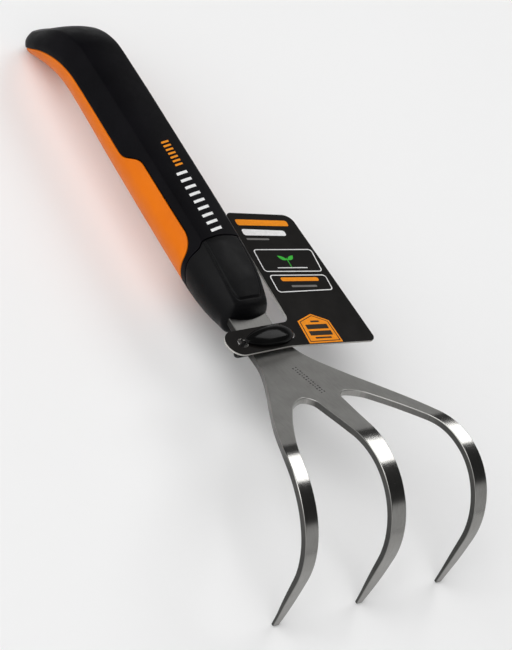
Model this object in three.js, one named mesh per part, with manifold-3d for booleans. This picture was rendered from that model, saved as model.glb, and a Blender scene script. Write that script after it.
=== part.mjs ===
// Hand cultivator: a stamped stainless three-tine head in a moulded grip, with a hang tag strapped to its
// neck. Millimetres. +Z is up, +Y runs from the butt to the tines, and the tool is symmetric about X = 0
// apart from its tag. The origin is the small flat under the butt, which stands on the ground with the tips.
// The tool is drawn with the top of its grip level, and then tipped by REST_TILT to stand on the ground.
import * as THREE from 'three';
import { mergeVertices } from 'three/addons/utils/BufferGeometryUtils.js';
import Module from 'manifold-3d';

const wasm = await Module();
wasm.setup();

// ---- driving dimensions ----
const FIT_GAP = 0.3;            // gap left between pieces that touch
const FAR = 400;                // larger than the tool, for cutting tools
const REST_TILT = 1.75;         // degrees between the top of the grip and the ground
const TIP_Y = 306;              // the ground meets the middle tine here, in side view
const TIP_Z = 1.3;
const BUTT_Y = 9;               // and the butt here
const BUTT_Z = TIP_Z + (TIP_Y - BUTT_Y) * Math.tan(THREE.MathUtils.degToRad(REST_TILT));

// steel head: its top surface in side view, as [arc length, turn in degrees] from the rear of the tang
const SHEET_THICK = 3;
const TANG_REAR_Y = 96;
const TANG_TOP_Z = 34.2;
const NOSE_Y = 182.8;           // arc length along the sheet is counted from here
const SHEET_BENDS = [
  [92.5, 0],                    // tang and neck
  [21, 20.8],                   // crank up out of the neck
  [52.9, 0],                    // rising palm and splayed tines
  [62.8, -104.8],               // arch over the top
  [22, -2.5],                   // leg
  [60, 0],                      // tip, cut off level with the ground
];
const TIP_END = 174;            // arc length past the ground plane
const THICKNESS = [
  [-90, SHEET_THICK], [118, SHEET_THICK], [140, 2.7], [156, 2.1], [168, 1.6], [180, 1.4],
];
const NECK_END = 5;             // the neck is still straight here
const SLOT_START = 54.6;        // round end of the slots between the tines
const SLOT_ROUND = 4.6;
const TANG_HALF = 8.5;
const KEY_HOLE_R = 3;
const KEY_HOLES_Y = [112, 136];

// edges of the flat blank as [arc length, distance from the centreline]
const MIDDLE_EDGE = [
  [-90, TANG_HALF], [-20, TANG_HALF], [0, 10.1], [14, 9.3], [28, 8.3], [43, 7.4], [57, 6.7], [71, 5.6],
  [85, 4.8], [100, 4.2], [128, 3.9], [145, 3.5], [158, 3], [168, 2.3], [180, 1.3],
];
const SIDE_INNER_EDGE = [
  [50, 11.5], [55, 16], [60, 20.6], [71, 29], [85, 37.3], [99, 40.6], [113, 41.7], [142, 41.9],
  [158, 41.9], [168, 42.1], [180, 42.6],
];
const OUTER_EDGE = [
  [-90, TANG_HALF], [-20, TANG_HALF], [0, 10], [14, 10.2], [28, 13.2], [43, 21], [57, 29.9], [71, 38.2],
  [85, 44.6], [99, 47.7], [113, 48.8], [128, 48.5], [142, 47.8], [158, 47.1], [168, 46.3], [180, 45.6],
];

// handle: lines over its top and under its belly in side view, (y, z)
const GRIP_TOP_Z = 45.2;
const HOOK_START_Y = 41.6;       // where the top starts to curve down into the butt
const HOOK_TOP_Z = 44.9;
const HOOK_R = 34.4;
const HOOK_TURN = 50;
const BELLY_Z = 18.7;
const TOP_HALF = 10.3;          // half width of the flat top face
const GRIP_HALF = 16;           // half width at the widest point of the flanks
const WIDEST_DROP = 9.5;        // depth of the widest point below the top face
const CROWN = 0.12;             // rise of the top face's middle, as a share of its half width
const SKIN = 2.6;               // thickness of the soft grip over its core
const CORE_REAR_Y = -20;        // behind the butt, so that the core fills the whole grip
const CORE_FRONT_Y = 148;       // front of the core's full body
const TENON_REAR_Y = 120;
const TENON_END_Y = 170;        // front of the core, inside the collar
const TENON_SKIN = 3;
const SLEEVE_END_Y = 176;       // past the front of the soft grip
const NOSE_STATIONS = 4;        // sections that round over the front of the collar

// parting line between grip and collar in side view, (y, z)
const PARTING_LINE = [
  [148.6, FAR], [149.6, 45.2], [151.4, 43], [152.6, 38.4], [154.5, 33.6], [156.8, 28.7], [159, 23],
  [159.6, 18], [159.6, -FAR],
];

// hang tag and its strap
const TAG_THICK = 0.8;
const TAG_PIVOT = [2.6, 198.5, 38.6];    // middle of the card's tongue, over the neck
const TAG_YAW = 2.7;                     // degrees that the strap sits askew on the neck
const TAG_ROLL = -2.3;                   // droop towards the side of the panel
const TAG_PITCH = 4;                     // droop of the panel's far end, at the end of its play in the strap
// corners of the card as [x, y, radius]: round end of the tongue, throat, far end, near end and
// root of the tongue
const TAG_CORNERS = [
  [21.2, 6.1, 6.4], [21.2, -6.9, 6.4], [-18.3, -6.4, 3.7], [-27.7, -69.8, 3], [-61.4, -62.7, 5],
  [-55.7, 12.2, 3.2], [-10.2, 6.1, 20],
];
const TAG_HOLES_X = [12.9, -13.4];
const TAG_HOLE_R = 2.5;
const LEGS_X = [12.6, -14.4];            // where the strap's legs stand in the holes
const CORD_R = 1;
const STRAP_DEPTH = 8.6;
const STRAP_CORNER = 4;
const LOCK_ENDS_X = [-14.6, 12.6];
const LOCK_WIDEST_X = -4.6;
const LOCK_TAPER = 2.4;                  // power that keeps the dome wide before it narrows to its slim end
const LOCK_WIDE = 4.8;
const LOCK_HIGH = 3;
const LOCK_BOSS_R = 1.7;
const LOCK_UNDER = TAG_THICK / 2 + LOCK_WIDE * Math.sin(THREE.MathUtils.degToRad(TAG_PITCH)) + FIT_GAP;

// ---- small helpers ----
const rad = THREE.MathUtils.degToRad;

// smooth curve through [position, value] pairs
function smoothThrough(points) {
  const slope = points.map((point, i) => {
    const before = points[Math.max(i - 1, 0)];
    const after = points[Math.min(i + 1, points.length - 1)];
    return (after[1] - before[1]) / (after[0] - before[0]);
  });
  return (at) => {
    let i = 0;
    while (i < points.length - 2 && at > points[i + 1][0]) i += 1;
    const span = points[i + 1][0] - points[i][0];
    const t = THREE.MathUtils.clamp((at - points[i][0]) / span, 0, 1);
    const a = (1 + 2 * t) * (1 - t) ** 2 * points[i][1] + t * (1 - t) ** 2 * span * slope[i];
    return a + t * t * (3 - 2 * t) * points[i + 1][1] + t * t * (t - 1) * span * slope[i + 1];
  };
}

function range(count, make) {
  return Array.from({ length: count }, (_, i) => make(i));
}

function toGeometry(positions, index) {
  const geometry = new THREE.BufferGeometry();
  geometry.setAttribute('position', new THREE.Float32BufferAttribute(positions, 3));
  geometry.setIndex(index);
  return geometry;
}

// closed solid from a geometry, with its faces turned outwards
function solid(geometry) {
  const bare = geometry.clone();
  bare.deleteAttribute('normal');
  bare.deleteAttribute('uv');
  const merged = mergeVertices(bare, 1e-4);
  const vertProperties = Float32Array.from(merged.attributes.position.array);
  const corners = merged.index.array;
  const faces = range(corners.length / 3, (i) => Array.from(corners.slice(3 * i, 3 * i + 3)));
  const triVerts = Uint32Array.from(faces.filter((face) => new Set(face).size === 3).flat());
  const corner = (i) => new THREE.Vector3().fromArray(vertProperties, 3 * triVerts[i]);
  let volume = 0;
  for (let i = 0; i < triVerts.length; i += 3) volume += corner(i).dot(corner(i + 1).cross(corner(i + 2)));
  if (volume < 0) {
    for (let i = 0; i < triVerts.length; i += 3) {
      [triVerts[i], triVerts[i + 1]] = [triVerts[i + 1], triVerts[i]];
    }
  }
  return new wasm.Manifold(new wasm.Mesh({ numProp: 3, vertProperties, triVerts }));
}

function geometryOf(manifold) {
  const mesh = manifold.getMesh();
  return toGeometry(mesh.vertProperties, Array.from(mesh.triVerts)).toNonIndexed();
}

function meshOf(name, manifold, colour, roughness, metalness) {
  const geometry = geometryOf(manifold);
  geometry.computeVertexNormals();
  const material = new THREE.MeshStandardMaterial({ color: colour, roughness, metalness });
  const mesh = new THREE.Mesh(geometry, material);
  mesh.name = name;
  return mesh;
}

// closed skin over a row of rings with the same number of points
function loft(rings) {
  const count = rings[0].length;
  const points = rings.flat();
  const index = [];
  for (let r = 0; r < rings.length - 1; r += 1) {
    for (let i = 0; i < count; i += 1) {
      const a = r * count + i;
      const b = r * count + ((i + 1) % count);
      index.push(a, b, a + count, b, b + count, a + count);
    }
  }
  for (const [ring, flip] of [[0, true], [rings.length - 1, false]]) {
    const centre = new THREE.Vector3();
    rings[ring].forEach((point) => centre.addScaledVector(point, 1 / count));
    const hub = points.push(centre) - 1;
    for (let i = 0; i < count; i += 1) {
      const a = ring * count + i;
      const b = ring * count + ((i + 1) % count);
      index.push(...(flip ? [hub, b, a] : [hub, a, b]));
    }
  }
  return solid(toGeometry(points.flatMap((point) => point.toArray()), index));
}

// outline as plain points, with none repeated where its stretches meet
function tidyOutline(path, segments) {
  const points = path.getPoints(segments);
  return points.filter((point, i) => point.distanceTo(points[(i + 1) % points.length]) > 1e-3);
}

function tidyShape(path, segments) {
  const shape = new THREE.Shape(tidyOutline(path, segments));
  shape.holes = (path.holes ?? []).map((hole) => new THREE.Path(tidyOutline(hole, segments)));
  return shape;
}

function box(width, depth, height, x, y, z) {
  return solid(new THREE.BoxGeometry(width, depth, height).translate(x, y, z));
}

// prism along X of a side-view outline given as (y, z) points
function sidePrism(outline) {
  const shape = new THREE.Shape(outline.map(([y, z]) => new THREE.Vector2(y, z)));
  const geometry = new THREE.ExtrudeGeometry(shape, { depth: 2 * FAR, bevelEnabled: false });
  const axes = new THREE.Matrix4().makeBasis(
    new THREE.Vector3(0, 1, 0), new THREE.Vector3(0, 0, 1), new THREE.Vector3(1, 0, 0),
  );
  return solid(geometry.applyMatrix4(axes).translate(-FAR, 0, 0));
}

// everything below the ground, in the drawing of the level tool
function underground() {
  const block = new THREE.BoxGeometry(FAR, 2 * FAR, FAR).translate(0, 0, -FAR / 2);
  return solid(block.rotateX(-rad(REST_TILT)).translate(0, TIP_Y, TIP_Z));
}

// ---- steel head ----

// top surface of the bent sheet at an arc length counted from the nose
function sheetAt(arc) {
  let left = arc + NOSE_Y - TANG_REAR_Y;
  let y = TANG_REAR_Y;
  let z = TANG_TOP_Z;
  let heading = 0;
  for (const [length, turn] of SHEET_BENDS) {
    const run = Math.min(left, length);
    const bend = rad(turn) * run / length;
    const chord = Math.abs(bend) < 1e-9 ? run : run * Math.sin(bend / 2) / (bend / 2);
    y += chord * Math.cos(heading + bend / 2);
    z += chord * Math.sin(heading + bend / 2);
    heading += bend;
    left -= run;
    if (left <= 0) break;
  }
  return { y, z, heading };
}

const middleEdge = smoothThrough(MIDDLE_EDGE);
const sideInnerEdge = smoothThrough(SIDE_INNER_EDGE);
const outerEdge = smoothThrough(OUTER_EDGE);
const thickness = smoothThrough(THICKNESS);

// the four edges of the right half at an arc length: middle tine, both sides of the slot, outer edge
function halfEdges(arc) {
  const inner = middleEdge(arc);
  const outer = sideInnerEdge(Math.max(arc, SLOT_START));
  const t = THREE.MathUtils.clamp((arc - SLOT_START) / SLOT_ROUND, 0, 1);
  const open = Math.sqrt(1 - (1 - t) ** 2);
  const middle = (middleEdge(Math.max(arc, SLOT_START)) + outer) / 2;
  const slotInner = middle + (inner - middle) * open;
  const slotOuter = middle + (outer - middle) * open;
  const edge = outerEdge(arc);
  if (arc <= SLOT_START) {
    const share = Math.min(middle, edge * 0.6);
    return [share, share, edge];
  }
  return [slotInner, slotOuter, edge];
}

function sheetStations() {
  const stations = [TANG_REAR_Y - NOSE_Y, -60, -20, -8];
  for (let arc = 0; arc < SLOT_START; arc += SLOT_START / 14) stations.push(arc);
  for (let i = 0; i <= 6; i += 1) stations.push(SLOT_START + SLOT_ROUND * (1 - Math.cos(rad(15 * i))));
  const after = SLOT_START + SLOT_ROUND;
  const steps = 36;
  for (let i = 1; i <= steps; i += 1) stations.push(after + (TIP_END - after) * i / steps);
  return stations;
}

function bentHead() {
  const stations = sheetStations();
  const positions = [];
  const index = [];
  const rows = stations.map((arc) => {
    const { y, z, heading } = sheetAt(arc);
    const [a, b, c] = halfEdges(arc);
    const across = [-c, -b, -a, a, b, c];
    const thick = thickness(arc);
    const low = [y + thick * Math.sin(heading), z - thick * Math.cos(heading)];
    const top = across.map((x) => positions.push(x, y, z) / 3 - 1);
    const bottom = across.map((x) => positions.push(x, ...low) / 3 - 1);
    return { top, bottom, split: arc > SLOT_START };
  });
  const quad = (a, b, c, d) => index.push(a, b, c, a, c, d);
  const lanes = [[0, 1], [2, 3], [4, 5]];
  const lastEdge = 5;
  rows.slice(1).forEach((row, i) => {
    const back = rows[i];
    for (const [left, right] of lanes) {
      quad(back.top[left], back.top[right], row.top[right], row.top[left]);
      quad(back.bottom[right], back.bottom[left], row.bottom[left], row.bottom[right]);
      if (row.split || left === 0) quad(back.bottom[left], back.top[left], row.top[left], row.bottom[left]);
      if (row.split || right === lastEdge) {
        quad(back.top[right], back.bottom[right], row.bottom[right], row.top[right]);
      }
    }
  });
  for (const [left, right] of lanes) {
    const first = rows[0];
    const last = rows.at(-1);
    quad(first.top[right], first.top[left], first.bottom[left], first.bottom[right]);
    quad(last.top[left], last.top[right], last.bottom[right], last.bottom[left]);
  }
  return solid(toGeometry(positions, index));
}

function keyHoles(radius) {
  return KEY_HOLES_Y.map((y) => solid(
    new THREE.CylinderGeometry(radius, radius, FAR / 10, 24).rotateX(rad(90)).translate(0, y, TANG_TOP_Z),
  ));
}

function tineHead() {
  let head = bentHead().subtract(underground());
  for (const hole of keyHoles(KEY_HOLE_R)) head = head.subtract(hole);
  return head;
}

// room for the tang and neck inside the handle, a gap larger than the steel all round
function tangRoom() {
  const arcs = [TANG_REAR_Y - NOSE_Y - FIT_GAP, -60, -20, -12, -6, 0, 6, 12];
  const rings = arcs.map((arc) => {
    const { y, z } = sheetAt(Math.min(arc, NECK_END));
    const half = outerEdge(arc) + FIT_GAP;
    const along = y + Math.max(arc - NECK_END, 0);
    const high = z + FIT_GAP;
    const low = z - SHEET_THICK - FIT_GAP;
    const corners = [[-half, high], [half, high], [half, low], [-half, low]];
    return corners.map(([x, up]) => new THREE.Vector3(x, along, up));
  });
  let room = loft(rings);
  for (const hole of keyHoles(KEY_HOLE_R - FIT_GAP)) room = room.subtract(hole);
  return room;
}

// ---- handle ----

// one station of the handle: top and belly points in side view, half widths of its top face and of
// its flanks, and how far its top bows forward
function station(top, belly, topHalf, half, bulge = 0) {
  return { top, belly, topHalf, half, bulge };
}

function handleStations() {
  const list = [];
  const hook = (turn) => {
    const angle = rad(turn);
    return [HOOK_START_Y - HOOK_R * Math.sin(angle), HOOK_TOP_Z - HOOK_R * (1 - Math.cos(angle))];
  };
  const [hookY, hookZ] = hook(HOOK_TURN);
  const down = (run) => [hookY - run * Math.cos(rad(HOOK_TURN)), hookZ - run * Math.sin(rad(HOOK_TURN))];
  // butt end, rounded over
  list.push(station([3.7, 15.6], [5.2, 12.6], 2.2, 3.6));
  list.push(station([3.1, 18], [6.6, 10.9], 5.4, 7.6));
  list.push(station([4.1, 20], [8.7, 9.95], 7, 9.8));
  list.push(station([6.3, 22.2], [10.8, 10.5], 8.6, 11.8));
  list.push(station(down(10.5), [13.2, 12], 9.9, 13.2));
  list.push(station(down(5.5), [17, 13.9], 10.2, 14.4));
  list.push(station(down(0.5), [21, 15.7], TOP_HALF, 15.1));
  list.push(station(hook(42), [25, 17.1], TOP_HALF, 15.4));
  list.push(station(hook(34), [29.5, 18.4], TOP_HALF, 15.6));
  list.push(station(hook(24), [34.6, 19.5], TOP_HALF, 15.6));
  list.push(station(hook(14), [40, 20.2], TOP_HALF, 15.6));
  list.push(station(hook(6), [45.6, 20.5], TOP_HALF, 15.6));
  list.push(station([50, 45], [54, 20.4], TOP_HALF, 15.6));
  list.push(station([66, GRIP_TOP_Z], [68, 19.9], TOP_HALF, 15.6));
  list.push(station([86, GRIP_TOP_Z], [87, 19.2], 10.2, 15.7));
  list.push(station([110, GRIP_TOP_Z], [110, 18.9], 10.1, 15.9));
  list.push(station([132, 45.1], [132, BELLY_Z], 10, GRIP_HALF));
  list.push(station([150, 44.7], [150, BELLY_Z], 9.8, GRIP_HALF));
  list.push(station([160, 44], [160, BELLY_Z], 10.1, 15.6));
  list.push(station([168, 42.9], [168, 19.3], 10, 14.6));
  list.push(station([174, 41.5], [174.2, 20.3], 9.5, 13.3, 0.4));
  list.push(station([178.2, 40.2], [178.2, 21.4], 9.1, 12.2, 1.4));
  list.push(station([179.9, 39.3], [179.9, 22], 8.9, 11.9, 2));
  list.push(station([181, 37.4], [181.5, 22.7], 9.3, 11.7, 2.1));
  list.push(station([181.9, 35.4], [183.2, 23.6], 9.5, 11.2, 2.1));
  list.push(station([182.6, 34], [184.6, 24.8], 8.9, 10.3, 2));
  list.push(station([183.4, 32.6], [185.5, 26], 6.9, 8.6, 1.8));
  return list;
}

// half outline of a section from the middle of the top to the middle of the belly, as (x, height)
function halfSection({ topHalf, half, height }, inset) {
  const high = height;
  const widest = Math.max(high * (1 - WIDEST_DROP / (GRIP_TOP_Z - BELLY_Z)), 0.2);
  const crown = CROWN * topHalf;
  const outline = [0, 0.3, 0.65].map((t) => [topHalf * t, high + crown * (1 - t * t)]);
  for (let i = 0; i <= 5; i += 1) {
    const t = i / 5;
    const x = (1 - t) ** 2 * topHalf + 2 * t * (1 - t) * (half - 0.5) + t * t * half;
    const z = (1 - t) ** 2 * high + 2 * t * (1 - t) * (high + widest) / 2 + t * t * widest;
    outline.push([x, z]);
  }
  for (let i = 1; i <= 8; i += 1) {
    const turn = rad(90 * i / 8);
    outline.push([half * Math.cos(turn), widest * (1 - Math.sin(turn))]);
  }
  const narrow = Math.max(1 - inset / half, 0.05);
  const low = Math.max(1 - 2 * inset / high, 0.05);
  return outline.map(([x, z]) => [x * narrow, (z - high / 2) * low + high / 2]);
}

function sectionRing(at, inset) {
  const top = new THREE.Vector3(0, ...at.top);
  const belly = new THREE.Vector3(0, ...at.belly);
  const up = top.clone().sub(belly);
  const height = up.length();
  up.normalize();
  const half = halfSection({ ...at, height }, inset);
  const mirrored = half.slice(1, -1).reverse().map(([x, z]) => [-x, z]);
  const bow = (x, z) => at.bulge * Math.max(1 - (x / at.half) ** 2, 0) * z / height;
  return [...half, ...mirrored].map(([x, z]) => {
    const point = belly.clone().addScaledVector(up, z);
    return point.set(x, point.y + bow(x, z), point.z);
  });
}

function handleLoft(inset) {
  return loft(handleStations().map((at) => sectionRing(at, inset)));
}

// inner body of the handle, cut to length
function innerLoft(inset, fromY, toY) {
  const keep = box(FAR, toY - fromY, FAR, 0, (fromY + toY) / 2, 0);
  const stations = handleStations().slice(0, -NOSE_STATIONS);
  return loft(stations.map((at) => sectionRing(at, inset))).intersect(keep);
}

function behindParting(shift) {
  const line = PARTING_LINE.map(([y, z]) => [y + shift, z]);
  return sidePrism([...line, [-FAR, -FAR], [-FAR, FAR]]);
}

// the orange area in side view: everything below this line shows the core
function windowLine(rise) {
  const line = new THREE.Path();
  line.moveTo(-FAR, 9.6 + rise);
  line.lineTo(1, 9.6 + rise);
  line.splineThru([
    [5, 11.4], [8.5, 14.2], [14, 19.6], [22, 26.4], [32.5, 32.2], [43, 35.2], [54, 35.9],
  ].map(([y, z]) => new THREE.Vector2(y, z + rise)));
  line.lineTo(90, 35.9 + rise);
  line.bezierCurveTo(97, 35.9 + rise, 97, 42.2 + rise, 104, 42.2 + rise);
  line.lineTo(140, 42.2 + rise);
  line.bezierCurveTo(147, 42.2 + rise, 150.2 + rise, 39, 150.8 + rise, 35);
  line.bezierCurveTo(151.4 + rise, 31, 153 + rise, 27, 153.4 + rise, 16);
  return line.getPoints(7);
}

function windowPrism(rise) {
  const outline = windowLine(rise).map((point) => [point.x, point.y]);
  return sidePrism([...outline, [outline.at(-1)[0], -FAR], [-FAR, -FAR]]);
}

function aboveGround(manifold) {
  return manifold.subtract(underground());
}

function gripCore(shell, tang) {
  const skin = shell.intersect(windowPrism(0)).intersect(behindParting(0));
  const body = innerLoft(SKIN + FIT_GAP, CORE_REAR_Y, CORE_FRONT_Y);
  const tenon = innerLoft(TENON_SKIN + FIT_GAP, TENON_REAR_Y, TENON_END_Y);
  return aboveGround(skin.add(body).add(tenon).subtract(tang));
}

function softGrip(shell) {
  const sleeve = shell.intersect(behindParting(0)).subtract(windowPrism(FIT_GAP));
  return aboveGround(sleeve.subtract(innerLoft(SKIN, CORE_REAR_Y, SLEEVE_END_Y)));
}

function noseCollar(shell, tang) {
  const front = shell.subtract(behindParting(FIT_GAP));
  const socket = innerLoft(TENON_SKIN, TENON_REAR_Y, TENON_END_Y + FIT_GAP);
  return front.subtract(socket).subtract(tang);
}

// ---- hang tag and strap, drawn flat about the middle of the tongue and then set on the neck ----

function tagOutline() {
  const shape = new THREE.Shape();
  TAG_CORNERS.forEach(([x, y, radius], i) => {
    const corner = new THREE.Vector2(x, y);
    const toward = (k) => {
      const [otherX, otherY] = TAG_CORNERS.at(k % TAG_CORNERS.length);
      return new THREE.Vector2(otherX, otherY).sub(corner).normalize();
    };
    const before = toward(i - 1);
    const after = toward(i + 1);
    const halfAngle = Math.acos(before.dot(after)) / 2;
    const reach = radius / Math.tan(halfAngle);
    const middle = before.clone().add(after).setLength(radius / Math.sin(halfAngle)).add(corner);
    const start = before.clone().multiplyScalar(reach).add(corner).sub(middle);
    const end = after.clone().multiplyScalar(reach).add(corner).sub(middle);
    shape.absarc(middle.x, middle.y, radius, start.angle(), end.angle(), before.cross(after) > 0);
  });
  shape.closePath();
  for (const x of TAG_HOLES_X) {
    const hole = new THREE.Path();
    hole.absarc(x, 0, TAG_HOLE_R, rad(7), rad(367), false);
    shape.holes.push(hole);
  }
  return shape;
}

function strapPlacement() {
  const turn = new THREE.Euler(0, rad(TAG_ROLL), rad(TAG_YAW), 'XYZ');
  return new THREE.Matrix4().makeRotationFromEuler(turn).setPosition(...TAG_PIVOT);
}

function hangTag() {
  const options = { depth: TAG_THICK, bevelEnabled: false };
  const card = new THREE.ExtrudeGeometry(tidyShape(tagOutline(), 8), options);
  return solid(card.translate(0, 0, -TAG_THICK / 2).rotateX(rad(TAG_PITCH)));
}

// teardrop dome that lies on the card, round by the inner hole and slim at a boss over the strap's outer leg
function tagLock() {
  const [rear, front] = LOCK_ENDS_X;
  const rings = range(19, (i) => {
    const x = rear + (front - rear) * (1 - Math.cos(rad(10 * i))) / 2;
    const out = x < LOCK_WIDEST_X ? (LOCK_WIDEST_X - x) / (LOCK_WIDEST_X - rear) : 0;
    const along = Math.max((x - LOCK_WIDEST_X) / (front - LOCK_WIDEST_X), 0);
    const full = Math.sqrt(Math.max(1 - out ** 2, 0.02)) * Math.max(1 - along ** LOCK_TAPER, 0.1);
    const wide = LOCK_WIDE * full;
    const high = LOCK_HIGH * (0.35 + 0.65 * full);
    const turns = range(7, (k) => rad(30 * k));
    const dome = turns.map((turn) => [wide * Math.cos(turn), high * (0.25 + 0.75 * Math.sin(turn))]);
    const outline = [[wide, 0], ...dome, [-wide, 0]];
    return outline.map(([y, z]) => new THREE.Vector3(x, y, z + LOCK_UNDER));
  });
  const bossHigh = LOCK_HIGH / 3;
  const boss = new THREE.CylinderGeometry(LOCK_BOSS_R, LOCK_BOSS_R, bossHigh, 20).rotateX(rad(90));
  return loft(rings).add(solid(boss.translate(LEGS_X[0], 0, LOCK_UNDER + bossHigh / 2)));
}

// round cord from under one end of the dome, through the card, under the neck and back up
function tagStrap() {
  const start = LOCK_UNDER - FIT_GAP;
  const [right, left] = LEGS_X;
  const bend = STRAP_CORNER;
  const low = -STRAP_DEPTH;
  const at = (x, z) => new THREE.Vector3(x, 0, z);
  const path = new THREE.CurvePath();
  path.add(new THREE.LineCurve3(at(right, start), at(right, low + bend)));
  path.add(new THREE.QuadraticBezierCurve3(at(right, low + bend), at(right, low), at(right - bend, low)));
  path.add(new THREE.LineCurve3(at(right - bend, low), at(left + bend, low)));
  path.add(new THREE.QuadraticBezierCurve3(at(left + bend, low), at(left, low), at(left, low + bend)));
  path.add(new THREE.LineCurve3(at(left, low + bend), at(left, start)));
  const section = new THREE.Shape();
  section.absarc(0, 0, CORD_R, 0, rad(360), false);
  const options = { steps: 40, bevelEnabled: false, extrudePath: path };
  return solid(new THREE.ExtrudeGeometry(tidyShape(section, 5), options));
}

// ---- assembly ----
const BLACK = 0x17171a;
const shell = handleLoft(0);
const tang = tangRoom();

const tool = new THREE.Group();
tool.add(meshOf('tine_head', tineHead(), 0x9a9a98, 0.35, 1));
tool.add(meshOf('grip_core', gripCore(shell, tang), 0xe07008, 0.45, 0));
tool.add(meshOf('soft_grip', softGrip(shell), BLACK, 0.7, 0));
tool.add(meshOf('nose_collar', noseCollar(shell, tang), BLACK, 0.6, 0));

const tag = new THREE.Group();
tag.applyMatrix4(strapPlacement());
tag.add(meshOf('hang_tag', hangTag(), 0x1c1a18, 0.6, 0));
tag.add(meshOf('tag_lock', tagLock(), 0x0a0a0b, 0.15, 0));
tag.add(meshOf('tag_strap', tagStrap(), 0x0a0a0b, 0.25, 0));
tool.add(tag);

// stand the level tool on the ground, with the flat under its butt at the origin
tool.rotation.x = rad(REST_TILT);
tool.updateMatrix();
tool.position.copy(new THREE.Vector3(0, BUTT_Y, BUTT_Z).applyMatrix4(tool.matrix).negate());

const cultivator = new THREE.Group();
cultivator.name = 'hand_cultivator';
cultivator.add(tool);

export default cultivator;
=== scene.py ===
"""Looks for the hand cultivator: fine surfaces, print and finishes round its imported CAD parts.

Shapes are drawn in millimetres in the level frame of the tool (top of the grip level, +Y towards the tines),
and then tipped onto the ground and scaled to metres by to_row().
"""
import math

import bmesh
import bpy
import numpy as np
from mathutils import Matrix, Vector, geometry


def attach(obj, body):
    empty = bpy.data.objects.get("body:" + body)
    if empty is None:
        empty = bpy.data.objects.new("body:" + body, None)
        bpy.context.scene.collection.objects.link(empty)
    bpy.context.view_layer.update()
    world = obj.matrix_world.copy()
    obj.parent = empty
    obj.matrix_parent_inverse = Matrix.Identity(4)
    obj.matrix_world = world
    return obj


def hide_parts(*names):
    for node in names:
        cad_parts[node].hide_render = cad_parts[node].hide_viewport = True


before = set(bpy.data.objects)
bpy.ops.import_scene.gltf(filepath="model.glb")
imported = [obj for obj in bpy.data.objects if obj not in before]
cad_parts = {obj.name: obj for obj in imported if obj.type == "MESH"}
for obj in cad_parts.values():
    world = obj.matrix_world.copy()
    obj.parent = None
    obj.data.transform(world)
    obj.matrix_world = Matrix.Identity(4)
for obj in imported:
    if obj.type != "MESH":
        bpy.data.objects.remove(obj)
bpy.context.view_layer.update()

# ---- the tool's frame ----
def rotation(axis, angle):
    """Matrix of a turn about axis 0, 1 or 2."""
    turn = np.eye(3)
    i, j = (axis + 1) % 3, (axis + 2) % 3
    turn[i, i] = turn[j, j] = math.cos(angle)
    turn[j, i], turn[i, j] = math.sin(angle), -math.sin(angle)
    return turn


TILT = math.radians(1.75)    # the tool lies on its tine tips and its butt
BUTT = np.array([0.0, 9.0, 1.3 + 297 * math.tan(TILT)])    # spot of the drawing that is the frame's origin
TURN = rotation(0, TILT)


def to_row(points):
    """Drawing millimetres to metres in the row frame."""
    rows = (np.asarray(points, float) - BUTT) @ TURN.T / 1000
    rows[..., 2] = np.maximum(rows[..., 2], 0)
    return rows


def hermite(xs, ys):
    """Smooth curve through points, as a function of an array."""
    xs, ys = np.asarray(xs, float), np.asarray(ys, float)
    lo, hi = np.maximum(np.arange(len(xs)) - 1, 0), np.minimum(np.arange(len(xs)) + 1, len(xs) - 1)
    slope = (ys[hi] - ys[lo]) / (xs[hi] - xs[lo])

    def at(x):
        x = np.asarray(x, float)
        i = np.clip(np.searchsorted(xs, x, side="right") - 1, 0, len(xs) - 2)
        span = xs[i + 1] - xs[i]
        t = np.clip((x - xs[i]) / span, 0, 1)
        rise = (1 + 2 * t) * (1 - t) ** 2 * ys[i] + t * (1 - t) ** 2 * span * slope[i]
        return rise + t * t * (3 - 2 * t) * ys[i + 1] + t * t * (t - 1) * span * slope[i + 1]

    return at


def unit(a):
    """Vectors scaled to length 1."""
    return a / np.maximum(np.linalg.norm(a, axis=-1, keepdims=True), 1e-12)


def lengths(points):
    """Distance run along a line up to each of its points."""
    return np.concatenate([[0], np.cumsum(np.linalg.norm(np.diff(points, axis=0), axis=1))])


def at_run(line, run, where):
    """Spots of a flat line at the distances where, given the distance run up to each of its points."""
    return np.stack([np.interp(where, run, line[:, k]) for k in (0, 1)], 1)


# ---- building meshes ----
BLANK_UNIT = 100    # millimetres of the flat steel sheet in one unit of its texture


def put(name, data):
    """Adds an object to the scene."""
    made = bpy.data.objects.new(name, data)
    bpy.context.scene.collection.objects.link(made)
    return made


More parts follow.
